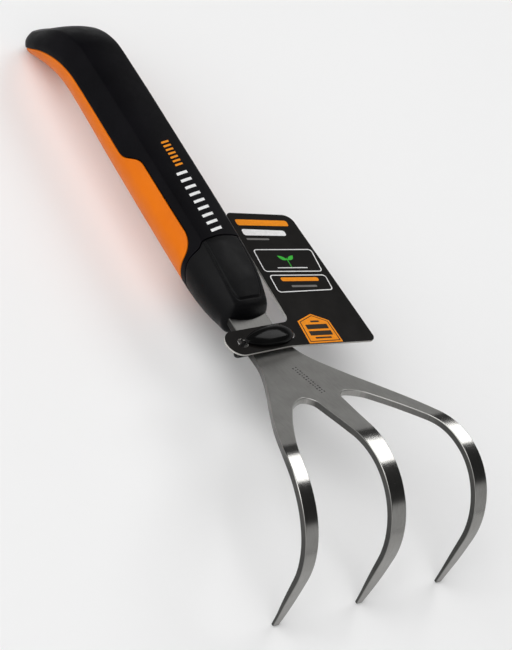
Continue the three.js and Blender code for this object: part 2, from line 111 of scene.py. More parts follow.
def make_piece(
        name, points, faces, materials, body, node=None, slot=None, sharp=40, weld=0, blank=None,
        normals=None):
    """One mesh object riding on a CAD body.

    faces are index lists, or (index list, material number) with several materials. sharp is the angle in
    degrees from which edges look sharp, and points nearer than weld metres are joined. blank gives each
    point's spot on the flat steel sheet, and normals its normal.
    """
    mesh = bpy.data.meshes.new(name)
    plain = [f[0] if isinstance(f[0], list) else f for f in faces]
    mesh.from_pydata(to_row(points).tolist(), [], plain)
    for material in materials:
        mesh.materials.append(material)
    if len(materials) > 1:
        mesh.polygons.foreach_set("material_index", [kind for _, kind in faces])
    work = bmesh.new()
    work.from_mesh(mesh)
    if weld:
        bmesh.ops.remove_doubles(work, verts=work.verts, dist=weld)
        bmesh.ops.dissolve_degenerate(work, dist=1e-7, edges=work.edges)
    if blank:
        layer = work.loops.layers.uv.new("blank")
        for face in work.faces:
            for loop in face.loops:
                x, arc = blank[loop.vert.index]
                loop[layer].uv = (x / BLANK_UNIT, arc / BLANK_UNIT)
    bmesh.ops.recalc_face_normals(work, faces=work.faces)
    work.to_mesh(mesh)
    work.free()
    mesh.polygons.foreach_set("use_smooth", [True] * len(mesh.polygons))
    if normals:
        mesh.normals_split_custom_set_from_vertices((unit(np.array(normals)) @ TURN.T).tolist())
    else:
        mesh.set_sharp_from_angle(angle=math.radians(sharp))
    piece = put(name, mesh)
    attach(piece, body)
    if node:
        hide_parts(node)


def strips(rows):
    """Faces between neighbouring rows of point numbers."""
    pairs = zip(rows, rows[1:])
    return [[low[j], low[j + 1], high[j + 1], high[j]] for low, high in pairs for j in range(len(low) - 1)]


def tube(rings, closed=False):
    """Points and faces of a tube through rings of points, capped at its ends or closed on itself."""
    rings = np.asarray(rings)
    count, n = rings.shape[:2]
    numbers = np.arange(count * n).reshape(count, n)
    numbers = np.concatenate([numbers, numbers[:, :1]], 1).tolist()
    if closed:
        return rings.reshape(-1, 3), strips(numbers + numbers[:1])
    return rings.reshape(-1, 3), strips(numbers) + [numbers[0][:-1], numbers[-1][:-1]]


def plate(name, outline, levels, place, materials, body, node=None, slot=None, holes=()):
    """Thin flat solid between two levels of place's own z, with its walls in the last of the materials."""
    flat, rings = [], []
    for loop in (outline, *holes):
        rings.append(list(range(len(flat), len(flat) + len(loop))))
        flat += [Vector(spot) for spot in loop.tolist()]
    spots, _, triangles, _, _, _ = geometry.delaunay_2d_cdt(flat, [], rings, 2, 1e-6)
    spots = np.array([spot[:] for spot in spots])
    size, wall = len(spots), len(materials) - 1
    points = np.concatenate([np.column_stack([spots, np.full(size, level)]) for level in levels])
    faces = [(list(tri), 0) for tri in triangles] + [([i + size for i in tri[::-1]], 0) for tri in triangles]
    for ring in rings:
        faces += [([i, j, j + size, i + size], wall) for i, j in zip(ring, ring[1:] + ring[:1])]
    make_piece(name, place(points), faces, materials, body, node, slot)


# ---- handle surface ----
HOOK_START_Y, HOOK_TOP_Z, HOOK_R, HOOK_TURN = 41.6, 44.9, 34.4, 50    # the top's curve down into the butt
WIDEST_SHARE = 1 - 9.5 / 26.3    # height of the widest point of a section, as a share of its height
CORNER_SOFT = 0.45               # how far the corners of a section are blurred
CROWN = 0.115                    # rise of the top face's middle, as a share of its half width
U_COUNT, V_COUNT = 520, 150      # sections along the handle, and points down one side of each


def handle_stations():
    """Rows of top y and z, belly y and z, half widths of the top face and flanks, and forward bow."""
    def hook(turn):
        """Spot of the top, this many degrees down its curve."""
        a = math.radians(turn)
        return HOOK_START_Y - HOOK_R * math.sin(a), HOOK_TOP_Z - HOOK_R * (1 - math.cos(a))

    def down(run):
        """Spot of the top, this far down the straight that follows the curve."""
        y, z = hook(HOOK_TURN)
        slope = math.radians(HOOK_TURN)
        return y - run * math.cos(slope), z - run * math.sin(slope)

    return np.array([
        (4.3, 14.6, 4.5, 14.1, 0.3, 0.5, 0), (3.7, 15.2, 4.9, 12.9, 1.6, 2.6, 0),
        (3.2, 16.4, 5.7, 11.6, 3.8, 5.6, 0), (3.15, 18, 6.9, 10.8, 5.4, 7.6, 0),
        (4.1, 20, 8.7, 10.3, 7.0, 9.8, 0), (6.3, 22.2, 10.8, 10.5, 8.6, 11.8, 0),
        (*down(10.5), 13.2, 12, 9.9, 13.2, 0), (*down(5.5), 17, 13.9, 10.2, 14.4, 0),
        (*down(0.5), 21, 15.7, 10.3, 15.1, 0), (*hook(42), 25, 17.1, 10.3, 15.4, 0),
        (*hook(34), 29.5, 18.4, 10.3, 15.6, 0), (*hook(24), 34.6, 19.5, 10.3, 15.6, 0),
        (*hook(14), 40, 20.2, 10.3, 15.6, 0), (*hook(6), 45.6, 20.5, 10.3, 15.6, 0),
        (50, 45.0, 54, 20.4, 10.3, 15.6, 0), (66, 45.2, 68, 19.9, 10.3, 15.6, 0),
        (86, 45.2, 87, 19.2, 10.2, 15.7, 0), (110, 45.2, 110, 18.9, 10.1, 15.9, 0),
        (132, 45.1, 132, 18.7, 10.0, 16.0, 0), (150, 44.7, 150, 18.7, 9.8, 16.0, 0),
        (160, 44.0, 160, 18.7, 10.1, 15.6, 0), (168, 42.9, 168, 19.3, 10.0, 14.6, 0),
        (174, 41.5, 174.2, 20.3, 9.5, 13.3, 0.4), (178.2, 40.2, 178.2, 21.4, 9.1, 12.2, 1.4),
        (179.9, 39.3, 179.9, 22.0, 8.9, 11.9, 2.0), (181.0, 37.4, 181.5, 22.7, 9.3, 11.7, 2.1),
        (181.9, 35.4, 183.2, 23.6, 9.5, 11.2, 2.1), (182.6, 34.0, 184.6, 24.8, 8.9, 10.3, 2.0),
        (183.4, 32.6, 185.5, 26.0, 6.9, 8.6, 1.8), (184.2, 31.2, 185.8, 27.4, 4.3, 5.8, 1.4),
        (185.0, 29.9, 185.9, 28.8, 0.6, 1.2, 0.6),
    ])


def ring_profile(high, top_half, half, crown, count):
    """Right half of one section as count evenly spaced points (x, height), softly cornered, and its length.

    high is its height up to the top's corners, and crown how far the middle of the top rises above them.
    """
    widest = max(high * WIDEST_SHARE, 0.2)
    t = np.linspace(0, 1, 50)[:-1]
    centre = high + crown
    top = np.stack([top_half * t, centre - crown * t * t], 1)
    bend = (1 - t) ** 2, 2 * t * (1 - t), t * t
    flank = np.stack([
        bend[0] * top_half + bend[1] * (half - 0.5) + bend[2] * half,
        bend[0] * high + bend[1] * (high + widest) / 2 + bend[2] * widest,
    ], 1)
    turn = np.linspace(0, math.pi / 2, 60)
    belly = np.stack([half * np.cos(turn), widest * (1 - np.sin(turn))], 1)
    line = np.concatenate([top, flank, belly])
    ring = np.concatenate([line, line[-2:0:-1] * [-1, 1], line[:1]])
    run = lengths(ring)
    fine = 4 * count
    ring = at_run(ring, run, np.linspace(0, run[-1], fine + 1)[:-1])
    soft = min(CORNER_SOFT * fine / run[-1], fine / 60)
    reach = int(3 * soft) + 1
    kernel = np.exp(-0.5 * (np.arange(-reach, reach + 1) / soft) ** 2)
    kernel /= kernel.sum()
    padded = np.concatenate([ring[-reach:], ring, ring[:reach]])
    ring = np.stack([np.convolve(padded[:, k], kernel, "valid") for k in (0, 1)], 1)
    half_ring = ring[:fine // 2 + 1]
    half_ring[0, 0] = half_ring[-1, 0] = 0
    run = lengths(half_ring)
    return at_run(half_ring, run, np.linspace(0, run[-1], count)), run[-1]


def handle_table():
    """Points of the handle's right half in sections from butt to nose, and each section's spine and girth."""
    rows = handle_stations()
    middle = (rows[:, 0:2] + rows[:, 2:4]) / 2
    path = np.concatenate([[0], np.cumsum(np.maximum(np.linalg.norm(np.diff(middle, axis=0), axis=1), 0.9))])
    # evenly spaced sections, closer together where the stations are close
    order = np.arange(len(rows))
    blend = 0.35 * path / path[-1] + 0.65 * order / order[-1]
    where = np.interp(np.linspace(0, 1, U_COUNT), blend, path)
    fine = np.stack([hermite(path, rows[:, k])(where) for k in range(7)], 1)
    table, spines, girth = [], [], []
    for top_y, top_z, low_y, low_z, top_half, half, bulge in fine:
        spine = np.array([top_y - low_y, top_z - low_z])
        high = np.linalg.norm(spine)
        spine = spine / high
        outline, size = ring_profile(high, top_half, half, CROWN * top_half, V_COUNT)
        bow = bulge * np.maximum(1 - (outline[:, 0] / half) ** 2, 0) * outline[:, 1] / high
        table.append(np.stack([
            outline[:, 0], low_y + spine[0] * outline[:, 1] + bow, low_z + spine[1] * outline[:, 1],
        ], 1))
        spines.append((low_y, low_z, spine[0], spine[1], high))
        girth.append(size)
    return np.array(table), np.array(spines), np.array(girth)


TABLE, SPINES, GIRTH = handle_table()
MIRROR = np.array([-1, 1, 1])
PAD = 3    # points of the mirrored half kept beyond the seams
WIDE_TABLE = np.concatenate([TABLE[:, PAD:0:-1] * MIRROR, TABLE, TABLE[:, -2:-2 - PAD:-1] * MIRROR], 1)


def cubic_weights(t):
    """Weights of four neighbours for a smooth curve through the middle two."""
    return np.stack([
        -0.5 * t ** 3 + t ** 2 - 0.5 * t, 1.5 * t ** 3 - 2.5 * t ** 2 + 1,
        -1.5 * t ** 3 + 2 * t ** 2 + 0.5 * t, 0.5 * t ** 3 - 0.5 * t ** 2,
    ], -1)


def surface(u, v):
    """Point of the handle at section u and share v of the way round from the top to the belly."""
    u = np.clip(u, 0, U_COUNT - 1)
    x = np.clip(v, -0.01, 1.01) * (V_COUNT - 1) + PAD
    iu, iv = np.clip(np.floor(u).astype(int), 0, U_COUNT - 2), np.floor(x).astype(int)
    wu, wv = cubic_weights(u - iu), cubic_weights(x - iv)
    total = np.zeros(u.shape + (3,))
    for a in range(4):
        row = np.clip(iu + a - 1, 0, U_COUNT - 1)
        for b in range(4):
            total += (wu[..., a] * wv[..., b])[..., None] * WIDE_TABLE[row, iv + b - 1]
    return total


def slopes(u, v):
    """Change of the surface point per section and per share of the way round."""
    du, dv = 0.5, 0.003
    run = np.clip(u + du, 0, U_COUNT - 1) - np.clip(u - du, 0, U_COUNT - 1)
    along = (surface(u + du, v) - surface(u - du, v)) / run[..., None]
    around = (surface(u, v + dv) - surface(u, v - dv)) / (2 * dv)
    return along, around


def outward(u, v):
    """Unit normals of the handle."""
    along, around = slopes(np.clip(u, 1.5, U_COUNT - 2.5), v)
    n = unit(np.cross(around, along))
    seam = (np.abs(v) < 1e-9) | (np.abs(v - 1) < 1e-9)
    n[seam, 0] = 0
    return unit(n)


def locate(points):
    """(u, v) of side-view points (y, z) on the right half of the handle, and which of them lie on it."""
    heights = np.einsum("uvk,uk->uv", TABLE[:, :, 1:] - SPINES[:, None, 0:2], SPINES[:, 2:4])
    found, shares = [], np.linspace(0, 1, V_COUNT)
    for y, z in points:
        off = (y - SPINES[:, 0]) * SPINES[:, 3] - (z - SPINES[:, 1]) * SPINES[:, 2]
        high = (y - SPINES[:, 0]) * SPINES[:, 2] + (z - SPINES[:, 1]) * SPINES[:, 3]
        crossed = off[:-1] * off[1:] <= 0
        hits = np.nonzero(crossed & (high[:-1] > -0.3) & (high[:-1] < SPINES[:-1, 4] + 1.5))[0]
        if not len(hits):
            found.append((0.0, 0.0, False))
            continue
        k = hits[0]
        share = off[k] / (off[k] - off[k + 1]) if off[k] != off[k + 1] else 0.0
        level = high[k] * (1 - share) + high[k + 1] * share
        v = sum(w * np.interp(-level, -heights[j], shares) for w, j in ((1 - share, k), (share, k + 1)))
        inside = heights[k, -1] - 0.02 <= level <= heights[k, 0] + 0.02
        found.append((k + share, v, bool(inside)))
    return np.array([f[:2] for f in found]), np.array([f[2] for f in found])


def bezier(a, b, c, d, count):
    """Points of a cubic curve after its first one."""
    t = np.linspace(0, 1, count)[1:, None]
    a, b, c, d = (np.array(p, float) for p in (a, b, c, d))
    return a * (1 - t) ** 3 + 3 * b * t * (1 - t) ** 2 + 3 * c * t * t * (1 - t) + d * t ** 3


WINDOW_LOW, WINDOW_HIGH = 35.9, 42.2    # levels of the orange area's two straight upper edges
WINDOW_STEP_Y = 140                     # where the upper one ends


def window_edge():
    """The line between orange and black on the right half, from the belly at the butt to the belly in front.

    Returns it as (y, z) in side view and as (u, v).
    """
    rise = [
        (1, 9.6), (5, 11.4), (8.5, 14.2), (14, 19.6), (22, 26.4), (32.5, 32.2), (43, 35.2), (54, WINDOW_LOW),
        (64, WINDOW_LOW)]
    ys, zs = np.array(rise).T
    run = lengths(np.array(rise))
    fine = np.linspace(0, run[-1], 900)
    start = np.stack([hermite(run, ys)(fine), hermite(run, zs)(fine)], 1)
    start[:, 1] = np.minimum(start[:, 1], WINDOW_LOW)
    parts = [
        start,
        np.stack([np.linspace(64, 90, 60)[1:], np.full(59, WINDOW_LOW)], 1),
        bezier((90, WINDOW_LOW), (97, WINDOW_LOW), (97, WINDOW_HIGH), (104, WINDOW_HIGH), 60),
        np.stack([np.linspace(104, WINDOW_STEP_Y, 80)[1:], np.full(79, WINDOW_HIGH)], 1),
        bezier((WINDOW_STEP_Y, WINDOW_HIGH), (147, WINDOW_HIGH), (150.2, 39), (150.8, 35), 60),
        bezier((150.8, 35), (151.4, 31), (153, 27), (153.4, 16), 160),
    ]
    line = np.concatenate(parts)
    spots, inside = locate(line)
    line, spots = line[inside], spots[inside]
    spots[0, 1] = spots[-1, 1] = 1
    return line, spots


def at_top(y):
    """Section whose top centre is at this y."""
    k = np.arange(120, U_COUNT - 1)
    return np.interp(y, TABLE[k, 0, 1], k)


def at_belly(y):
    """Section whose belly is at this y."""
    k = np.arange(60, U_COUNT - 1)
    return np.interp(y, TABLE[k, -1, 1], k)


PARTING_TOP_Y = 148.3    # rear of the collar on the middle of the top


def parting_edge():
    """The line between grip and collar on the right half: function from v to u, and v at the top's corner."""
    side = [(151.4, 43), (152.6, 38.4), (154.5, 33.6), (156.8, 28.7), (159, 23)]
    spots, _ = locate(side)
    edge_u, half_u, top_u = at_top(149.6), at_top(148.65), at_top(PARTING_TOP_Y)
    edge_v = 9.95 / np.interp(edge_u, np.arange(U_COUNT), GIRTH)
    last_u, last_v = spots[-1]
    vs = [-edge_v, -edge_v / 2, 0, edge_v / 2, edge_v, *spots[:, 1], 1, 2 - last_v]
    us = [edge_u, half_u, top_u, half_u, edge_u, *spots[:, 0], at_belly(159.6), last_u]
    return hermite(vs, us), edge_v


def shifted(spots, toward, amount):
    """Spots (u, v) of a line moved by amount millimetres over the surface, square to the line.

    They move towards the other spots. Also returns the direction of the move at each spot.
    """
    u, v = spots[:, 0], spots[:, 1]
    along, around = slopes(np.clip(u, 1.5, U_COUNT - 2.5), v)
    points = surface(u, v)
    tangent = np.gradient(points, axis=0)
    n = outward(u, v)
    for end in (0, -1):
        if abs(v[end]) < 1e-9 or abs(v[end] - 1) < 1e-9:
            tangent[end] = (1, 0, 0)
    side = unit(np.cross(n, unit(tangent)))
    facing = np.einsum("ij,ij->i", side, surface(*toward.T) - points)
    side = side * (np.sign(np.median(facing)) or 1)
    move = side * amount
    pairs = (along, along), (around, around), (along, around), (move, along), (move, around)
    aa, bb, ab, ma, mb = (np.einsum("ij,ij->i", p, q) for p, q in pairs)
    det = np.maximum(aa * bb - ab * ab, 1e-12)
    step = np.stack([(ma * bb - mb * ab) / det, (mb * aa - ma * ab) / det], 1)
    return spots + step, side


LIP = 0.42           # radius of the rounded edge of each skin
SKIN_DEPTH = 1.3
SEAM_GAP = 0.13      # half of the groove between two skins
MARGIN = LIP + SEAM_GAP


def lip_rows(spots, side, steps=4):
    """Rows of points that round the skin's edge over and carry it down into the groove."""
    n = outward(*spots.T)
    base = surface(*spots.T) + side * SEAM_GAP
    rows = []
    for k in range(1, steps + 1):
        a = math.pi / 2 * k / steps
        rows.append(base + side * LIP * (1 - math.sin(a)) - n * LIP * (1 - math.cos(a)))
    rows.append(base - n * SKIN_DEPTH)
    return rows


def skin(name, far, near, far_real, near_real, rows, material, node, slot, lift=None):
    """Closed skin over part of the handle's right half and its mirror image.

    far and near are matching lists of (u, v) on two sides. far_real and near_real say where those sides are
    true edges, with a rounded lip, instead of the middle line of the tool. lift moves the surface outwards.
    """
    ends, inset = [], []
    for line, other, real, row in ((far, near, far_real, 0), (near, far, near_real, -1)):
        inset.append(line.copy())
        if real.any():
            inset[-1][real], side = shifted(line[real], other[real], MARGIN)
            ends.append((line[real], side, real, row))
    t = rows[:, None, None]
    spots = inset[0] * (1 - t) + inset[1] * t
    u, v = spots[..., 0], np.clip(spots[..., 1], 0, 1)
    n = outward(u, v)
    outer = surface(u, v)
    if lift is not None:
        outer = outer + n * lift(outer)[..., None]
    inner = surface(u, v) - n * SKIN_DEPTH
    points, faces = [], []

    def add(block, mirror):
        """Adds a block of points, or its mirror image, and returns its rows of point numbers."""
        start = len(points)
        points.extend((block * MIRROR if mirror else block).reshape(-1, 3).tolist())
        return np.arange(start, len(points)).reshape(block.shape[:2])

    for mirror in (False, True):
        over, under = add(outer, mirror), add(inner, mirror)
        faces += strips(over.tolist()) + strips(under.tolist())
        for line, side, real, row in ends:
            lip = add(np.stack(lip_rows(line, side)), mirror)
            faces += strips([over[row, real].tolist(), *lip.tolist(), under[row, real].tolist()])
    make_piece(name, points, faces, [material], "tool", node, slot, 70, 2e-6)


def resample(spots, count):
    """count spots evenly spaced in surface length along a line of (u, v)."""
    run = lengths(surface(*spots.T))
    return at_run(spots, run, np.linspace(0, run[-1], count))


def at_seam(us):
    """Spots on the middle line of the top."""
    return np.stack([us, 0 * us], 1)


def build_window(edge, orange):
    """The orange core where it shows, between its edge and the middle line of the belly."""
    columns, spare = 420, 400
    belly = resample(np.stack([np.linspace(edge[0, 0], edge[-1, 0], spare), np.ones(spare)], 1), columns)
    step = 1 / np.linalg.norm(slopes(*belly.T)[0], axis=1)
    belly[:, 0] += np.clip(1.2 * MARGIN * (1 - 2 * np.linspace(0, 1, columns)), -MARGIN, MARGIN) * step
    real, seam = np.ones(columns, bool), np.zeros(columns, bool)
    rows = np.linspace(0, 1, 46)
    skin("orange_core", resample(edge, columns), belly, real, seam, rows, orange, "grip_core", "orange_core")


def build_sleeve(line, edge, black):
    """The soft black overmould, in strips from the butt to the collar."""
    parting, parting_edge_v = parting_edge()
    corner_y, shoulder_y = 146.2, 149.3    # where the window's edge turns down and is steepest

    def edge_part(y_from, y_to, count):
        """Evenly spaced spots of the window's edge between two places along the tool."""
        i = int(np.argmin(np.abs(line[:, 0] - y_from)))
        j = int(np.argmin(np.abs(line[:, 0] - y_to)))
        return resample(edge[i:j + 1], count)

    def step(u, v):
        """Sections per millimetre of surface."""
        return 1 / np.linalg.norm(slopes(np.array([u]), np.array([v]))[0][0])

    # the butt, down to where the window's edge meets the belly
    start_u, top_goal, parting_u = edge[0, 0], at_top(WINDOW_STEP_Y), at_top(PARTING_TOP_Y)
    cap = np.linspace(0, 1, 22) ** 1.3
    far = [at_seam(cap * start_u)]
    near = [np.stack([cap * (start_u - MARGIN * step(start_u, 1.0)), 0 * cap + 1], 1)]
    # along the window, where the top keeps pace with the edge below it
    side = edge_part(line[0, 0], WINDOW_STEP_Y, 330)
    pace = np.interp(np.linspace(0, 1, 331)[1:], np.linspace(0, 1, 330), np.maximum.accumulate(side[:, 0]))
    far.append(at_seam(np.maximum.accumulate(np.clip(pace, start_u, top_goal))))
    near.append(resample(side, 330))
    # round the window's front corner to the parting line
    rear = parting_u - 1.6 * MARGIN * step(parting_u, 0.0)
    far.append(at_seam(top_goal + (rear - top_goal) * np.linspace(0, 1, 15)[1:]))
    near.append(edge_part(WINDOW_STEP_Y, corner_y, 15)[1:])
    v_top = np.linspace(0, parting_edge_v, 26)
    far.append(np.stack([parting(v_top), v_top], 1))
    near.append(edge_part(corner_y, shoulder_y, 27)[1:])
    v_low = np.linspace(parting_edge_v, 1, 71)[1:]
    far.append(np.stack([parting(v_low), v_low], 1))
    near.append(edge_part(shoulder_y, line[-1, 0], 71)[1:])
    sizes = [len(part) for part in far]
    far, near = np.concatenate(far), np.concatenate(near)
    far_real, near_real = np.arange(len(far)) >= sum(sizes[:3]), np.arange(len(far)) >= sizes[0]
    rows = np.linspace(0, 1, 64)
    skin("grip_sleeve", far, near, far_real, near_real, rows, black, "soft_grip", "soft_black")


def build_collar(black):
    """The nose collar, from the parting line to the front, its sections closer where the panel ends."""
    v = np.concatenate([np.linspace(0, 0.26, 44), np.linspace(0.26, 1, 66)[1:]])
    far = np.stack([parting_edge()[0](v), v], 1)
    near = np.stack([np.full(len(v), U_COUNT - 1.0), v], 1)
    steps = np.concatenate([np.linspace(0, 0.62, 100), np.linspace(0.62, 1, 60)[1:]])
    real, seam = np.ones(len(v), bool), np.zeros(len(v), bool)
    skin("collar_shell", far, near, real, seam, steps, black, "nose_collar", "collar_black", collar_lift)


PANEL_SHARP = 1.6    # per millimetre, how sharp the corners of the collar's raised panel are
PANEL_REAR_Y, PANEL_LOW_Z, PANEL_RISE = 148.8, 38.4, 0.28
GROOVE_OFF, GROOVE_HALF, GROOVE_DEPTH = 0.42, 0.30, 0.34    # of the groove round the panel


def panel_distance(x, y):
    """Signed distance to the outline of the collar's raised panel, with softened corners, negative inside."""
    half = [(8.9, 140), (8.9, 150), (9.2, 158), (9.1, 165), (8.6, 170), (7.7, 174.4), (5.7, 178.6)]
    corners = np.array(half + [(-a, b) for a, b in half[::-1]], float)
    centre = corners.mean(0)
    total = np.zeros(x.shape)
    for a, b in zip(corners, np.roll(corners, -1, 0)):
        edge = unit(b - a)
        normal = np.array([edge[1], -edge[0]])
        if normal @ (centre - a) > 0:
            normal = -normal
        off = (x - a[0]) * normal[0] + (y - a[1]) * normal[1]
        total += np.exp(np.clip(PANEL_SHARP * off, -60, 60))
    return np.log(total) / PANEL_SHARP


def collar_lift(points):
    """Rise of the collar's surface over its panel, and the groove round the panel."""
    x, y, z = points[..., 0], points[..., 1], points[..., 2]
    d = panel_distance(x, y)
    on_top = np.clip((z - PANEL_LOW_Z) / 1.2, 0, 1)
    rise = PANEL_RISE * np.clip(0.5 - d / 0.5, 0, 1) * np.clip((y - PANEL_REAR_Y - 0.2) / 2, 0, 1)
    groove = GROOVE_DEPTH * np.exp(-((d - GROOVE_OFF) / GROOVE_HALF) ** 2) * np.clip(y - PANEL_REAR_Y, 0, 1)
    return (rise - groove) * on_top


# ---- steel head ----
# length and turn in degrees of each run of the sheet, from the tang's rear to the tips
SHEET_BENDS = ((92.5, 0), (21, 20.8), (52.9, 0), (62.8, -104.8), (22, -2.5), (60, 0))
NOSE_Y, TANG_REAR_Y, TANG_TOP_Z = 182.8, 96.0, 34.17
BEND_START, BEND_END = 79.0, 142.0    # arc lengths of the arches
TIP_START, TIP_END = 150.0, 176.0     # the tips are trimmed to the ground between these arc lengths
SLOT_START, SLOT_ROUND = 54.6, 4.6    # arc length and radius of the round ends of the slots between the tines
EDGE_ROUND = 0.5
# half widths of the tines' edges and thickness of the sheet, by arc length
middle_edge = hermite(*zip(
    (-90, 8.5), (-20, 8.5), (0, 10.1), (14, 9.3), (28, 8.3), (43, 7.4), (57, 6.7), (71, 5.6), (85, 4.8),
    (100, 4.2), (128, 3.9), (145, 3.5), (158, 3), (168, 2.3), (180, 1.3)))
side_inner_edge = hermite(*zip(
    (50, 11.5), (55, 16), (60, 20.6), (71, 29), (85, 37.3), (99, 40.6), (113, 41.7), (142, 41.9), (158, 41.9),
    (168, 42.1), (180, 42.6)))
outer_edge = hermite(*zip(
    (-90, 8.5), (-20, 8.5), (0, 10), (14, 10.2), (28, 13.2), (43, 21), (57, 29.9), (71, 38.2), (85, 44.6),
    (99, 47.7), (113, 48.8), (128, 48.5), (142, 47.8), (158, 47.1), (168, 46.3), (180, 45.6)))
thickness = hermite(*zip((-90, 3), (118, 3), (140, 2.7), (156, 2.1), (168, 1.6), (180, 1.4)))


def sheet_at(arc):
    """y, z and heading of the sheet's top surface at arc lengths from the nose."""
    arc = np.asarray(arc, float) + NOSE_Y - TANG_REAR_Y
    y, z, heading = TANG_REAR_Y, TANG_TOP_Z, 0.0
    out = np.zeros(arc.shape + (3,))
    start = 0.0
    for n, (length, turn) in enumerate(SHEET_BENDS):
        last = n == len(SHEET_BENDS) - 1
        here = arc >= start if n else arc > -1e9
        run = arc - start if last else np.minimum(arc - start, length)
        bend = math.radians(turn) * run / length
        chord = run * np.sinc(bend / 2 / math.pi)
        out[here, 0] = (y + chord * np.cos(heading + bend / 2))[here]
        out[here, 1] = (z + chord * np.sin(heading + bend / 2))[here]
        out[here, 2] = (heading + bend)[here]
        full = math.radians(turn)
        chord = length * (math.sin(full / 2) / (full / 2) if full else 1)
        y, z = y + chord * math.cos(heading + full / 2), z + chord * math.sin(heading + full / 2)
        heading, start = heading + full, start + length
    return out


def ground_arc(depth_share):
    """Arc length where a layer of the tips meets the ground. The tips are straight there."""
    arcs = np.linspace(TIP_START, TIP_END + 9, 71)
    y, z, heading = sheet_at(arcs).T
    depth = thickness(arcs) * depth_share
    y, z = y + depth * np.sin(heading), z - depth * np.cos(heading)
    level = (y - BUTT[1]) * math.sin(TILT) + (z - BUTT[2]) * math.cos(TILT)
    return float(np.interp(0, -level, arcs))


GROUND = [ground_arc(s) for s in (0.0, 1.0)]


def sheet_point(x, arc, depth):
    """Point of the head under flat-blank spot (x, arc), depth below the top surface, ended at the ground."""
    share = depth / thickness(arc)
    end = GROUND[0] + (GROUND[1] - GROUND[0]) * share
    trimmed = TIP_START + (arc - TIP_START) * (end - TIP_START) / (TIP_END - TIP_START)
    arc = np.where(arc > TIP_START, trimmed, arc)
    y, z, heading = np.moveaxis(sheet_at(arc), -1, 0)
    return np.stack([x, y + depth * np.sin(heading), z - depth * np.cos(heading)], -1)


def head_stations():
    """Arc lengths of the head's cross-sections, closer where it bends."""
    back = np.concatenate([[-86.8, -60, -40], np.linspace(-24, 4, 8)])
    crank = np.linspace(5.7, 26.7, 18)
    palm = np.linspace(30, 78, 17)
    arch = np.linspace(BEND_START + 0.6, BEND_END + 0.4, 58)
    leg = np.linspace(144, TIP_END, 24)
    return np.concatenate([back, crank, palm, arch, leg])


def head_chains():
    """Outlines of the flat blank as lists of (x, arc): right side, right slot, left slot and left side."""
    arcs = head_stations()
    outer = np.stack([outer_edge(arcs) - 0.03, arcs], 1)
    after = SLOT_START + SLOT_ROUND
    far = np.concatenate([np.linspace(after + 1, 78, 12), arcs[arcs > BEND_START]])
    turn = np.radians(np.linspace(90, 0, 19))
    near = SLOT_START + SLOT_ROUND * (1 - np.cos(turn))

    def wall(at, opened, sign):
        """One wall of the right slot, its share opened of the full way from the slot's middle."""
        middle = (middle_edge(at) + side_inner_edge(at)) / 2
        half = (side_inner_edge(at) - middle_edge(at)) / 2
        return np.stack([middle + sign * half * opened, at], 1)

    slot = np.concatenate([
        wall(far, 1, 1)[::-1], wall(near, np.sin(turn), 1), wall(near, np.sin(turn), -1)[::-1][1:],
        wall(far, 1, -1)])
    flip = np.array([-1, 1])
    return [outer, slot, (slot * flip)[::-1], (outer * flip)[::-1]]


def inner_spots():
    """Spots (x, arc) inside the flat blank, which let its faces bend with the sheet."""
    spots = []
    for arc in head_stations()[1:-1]:
        if arc < SLOT_START - 1:
            half = float(outer_edge(arc)) - EDGE_ROUND
            spots += [(share * half, arc) for share in (-0.33, -0.67, 0.33, 0.67, 0)]
        elif arc > BEND_START:
            middle = float(side_inner_edge(arc) + outer_edge(arc)) / 2
            spots += [(0, arc), (middle, arc), (-middle, arc)]
    return spots


